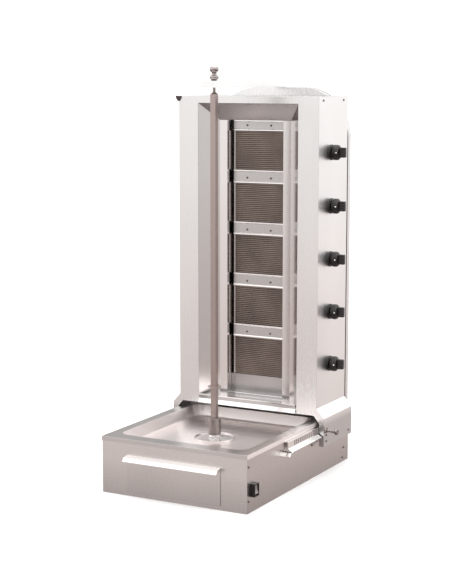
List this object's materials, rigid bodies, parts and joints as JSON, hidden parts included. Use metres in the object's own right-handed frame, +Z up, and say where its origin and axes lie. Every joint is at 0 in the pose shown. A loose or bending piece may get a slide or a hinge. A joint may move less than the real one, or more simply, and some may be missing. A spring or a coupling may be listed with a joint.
{
  "type": "vertical rotisserie broiler",
  "caption": "Countertop gas broiler: a burner tower slides on rails behind a vertical motor-driven spit over a drip tray with a grease drawer, with a valve knob for each burner on its side.",
  "frame": {"origin": "on the surface the machine stands on, directly below the spit's axis, in the centre plane of the base", "axes": "+Z up along the spit, -Y towards the user, +X towards the side with the knobs and the switch"},
  "size_m": [0.5458, 0.697, 1.178],
  "materials": {
    "stainless_sheet": "fine brushed stainless sheet",
    "polished_stainless": "polished, mirror-like stainless sheet",
    "rail_steel": "plain stainless angle",
    "spit_steel": "drawn stainless bar, slightly dulled",
    "turned_steel": "turned stainless",
    "fasteners": "stainless screw heads",
    "dark_steel": "blackened steel",
    "burner_iron": "cast iron, heat dulled",
    "burner_ceramic": "perforated ceramic",
    "burner_mesh": "heat-tinted wire mesh",
    "valve_brass": "machined brass",
    "gearbox_alloy": "die cast",
    "motor_paint": "satin black paint",
    "black_plastic": "satin black",
    "grey_plastic": "dark grey rocker",
    "black_nylon": "black nylon"
  },
  "bodies": {
    "base": {"base_casing": "stainless_sheet", "bottom_plate": "rail_steel", "drip_tray": "polished_stainless", "tray_ring": "polished_stainless", "shaft_bearing": "valve_brass", "drawer_runners": "rail_steel", "slide_rails": "rail_steel", "arm_column": "rail_steel", "back_panel": "stainless_sheet", "top_arm": "polished_stainless", "gearbox": "gearbox_alloy", "motor": "motor_paint", "motor_bracket": "rail_steel", "switch_bezel": "black_plastic", "cable_gland": "black_plastic", "terminal_box": "black_plastic", "base_screws": "fasteners"},
    "drawer": {"drawer_box": "stainless_sheet", "drawer_front": "stainless_sheet"},
    "spit": {"spit_bar": "spit_steel", "spit_disc": "spit_steel", "drive_sleeve": "spit_steel"},
    "top_pin": {"lift_pin": "turned_steel", "pin_knob": "turned_steel"},
    "switch_rocker": {"switch_rocker": "grey_plastic"},
    "tower": {"side_panel_left": "stainless_sheet", "side_panel_right": "stainless_sheet", "front_frame": "stainless_sheet", "ceiling_reflector": "polished_stainless", "side_reflector_left": "polished_stainless", "side_reflector_right": "polished_stainless", "cavity_floor": "polished_stainless", "blank_panel": "stainless_sheet", "top_panel": "stainless_sheet", "rear_cover": "stainless_sheet", "tower_floor": "stainless_sheet", "burner_bodies": "burner_iron", "ceramic_plates": "burner_ceramic", "mesh_screens": "burner_mesh", "crossbars": "stainless_sheet", "gas_manifold": "turned_steel", "gas_valves": "valve_brass", "burner_pipes": "turned_steel", "gas_inlet": "turned_steel", "knob_bezels": "black_plastic", "lock_bushing": "turned_steel", "glide_blocks": "black_nylon", "corner_lug": "dark_steel", "tower_screws": "fasteners"},
    "tower_lock": {"lock_plunger": "turned_steel"},
    "spindle_1": {"valve_spindle_1": "turned_steel"},
    "knob_1": {"knob_1": "black_plastic"},
    "spindle_2": {"valve_spindle_2": "turned_steel"},
    "knob_2": {"knob_2": "black_plastic"},
    "spindle_3": {"valve_spindle_3": "turned_steel"},
    "knob_3": {"knob_3": "black_plastic"},
    "spindle_4": {"valve_spindle_4": "turned_steel"},
    "knob_4": {"knob_4": "black_plastic"},
    "spindle_5": {"valve_spindle_5": "turned_steel"},
    "knob_5": {"knob_5": "black_plastic"}
  },
  "joints": [
    {"name": "drawer_slide", "type": "slide", "parent": "base", "child": "drawer", "axis": [0, -1, 0], "range_m": [0, 0.13]},
    {"name": "spit_spin", "type": "hinge", "parent": "base", "child": "spit", "pos_m": [0, 0, 0.13], "axis": [0, 0, 1], "continuous": true},
    {"name": "top_pin_lift", "type": "slide", "parent": "base", "child": "top_pin", "axis": [0, 0, 1], "range_m": [0, 0.025]},
    {"name": "switch_rock", "type": "hinge", "parent": "base", "child": "switch_rocker", "pos_m": [0.2285, -0.2, 0.061], "axis": [0, 1, 0], "range_deg": [0, 20]},
    {"name": "tower_slide", "type": "slide", "parent": "base", "child": "tower", "axis": [0, -1, 0], "range_m": [0, 0.144]},
    {"name": "lock_push", "type": "slide", "parent": "tower", "child": "tower_lock", "axis": [-1, 0, 0], "range_m": [0, 0.008]},
    {"name": "knob_1_push", "type": "slide", "parent": "tower", "child": "spindle_1", "axis": [-1, 0, 0], "range_m": [0, 0.003], "stiffness_N_per_m": 600, "springref_m": -0.003},
    {"name": "knob_1_turn", "type": "hinge", "parent": "spindle_1", "child": "knob_1", "pos_m": [0.25, 0.2835, 0.936], "axis": [-1, 0, 0], "range_deg": [0, 180]},
    {"name": "knob_2_push", "type": "slide", "parent": "tower", "child": "spindle_2", "axis": [-1, 0, 0], "range_m": [0, 0.003], "stiffness_N_per_m": 600, "springref_m": -0.003},
    {"name": "knob_2_turn", "type": "hinge", "parent": "spindle_2", "child": "knob_2", "pos_m": [0.25, 0.2835, 0.782], "axis": [-1, 0, 0], "range_deg": [0, 180]},
    {"name": "knob_3_push", "type": "slide", "parent": "tower", "child": "spindle_3", "axis": [-1, 0, 0], "range_m": [0, 0.003], "stiffness_N_per_m": 600, "springref_m": -0.003},
    {"name": "knob_3_turn", "type": "hinge", "parent": "spindle_3", "child": "knob_3", "pos_m": [0.25, 0.2835, 0.628], "axis": [-1, 0, 0], "range_deg": [0, 180]},
    {"name": "knob_4_push", "type": "slide", "parent": "tower", "child": "spindle_4", "axis": [-1, 0, 0], "range_m": [0, 0.003], "stiffness_N_per_m": 600, "springref_m": -0.003},
    {"name": "knob_4_turn", "type": "hinge", "parent": "spindle_4", "child": "knob_4", "pos_m": [0.25, 0.2835, 0.474], "axis": [-1, 0, 0], "range_deg": [0, 180]},
    {"name": "knob_5_push", "type": "slide", "parent": "tower", "child": "spindle_5", "axis": [-1, 0, 0], "range_m": [0, 0.003], "stiffness_N_per_m": 600, "springref_m": -0.003},
    {"name": "knob_5_turn", "type": "hinge", "parent": "spindle_5", "child": "knob_5", "pos_m": [0.25, 0.2835, 0.32], "axis": [-1, 0, 0], "range_deg": [0, 180]}
  ]
}
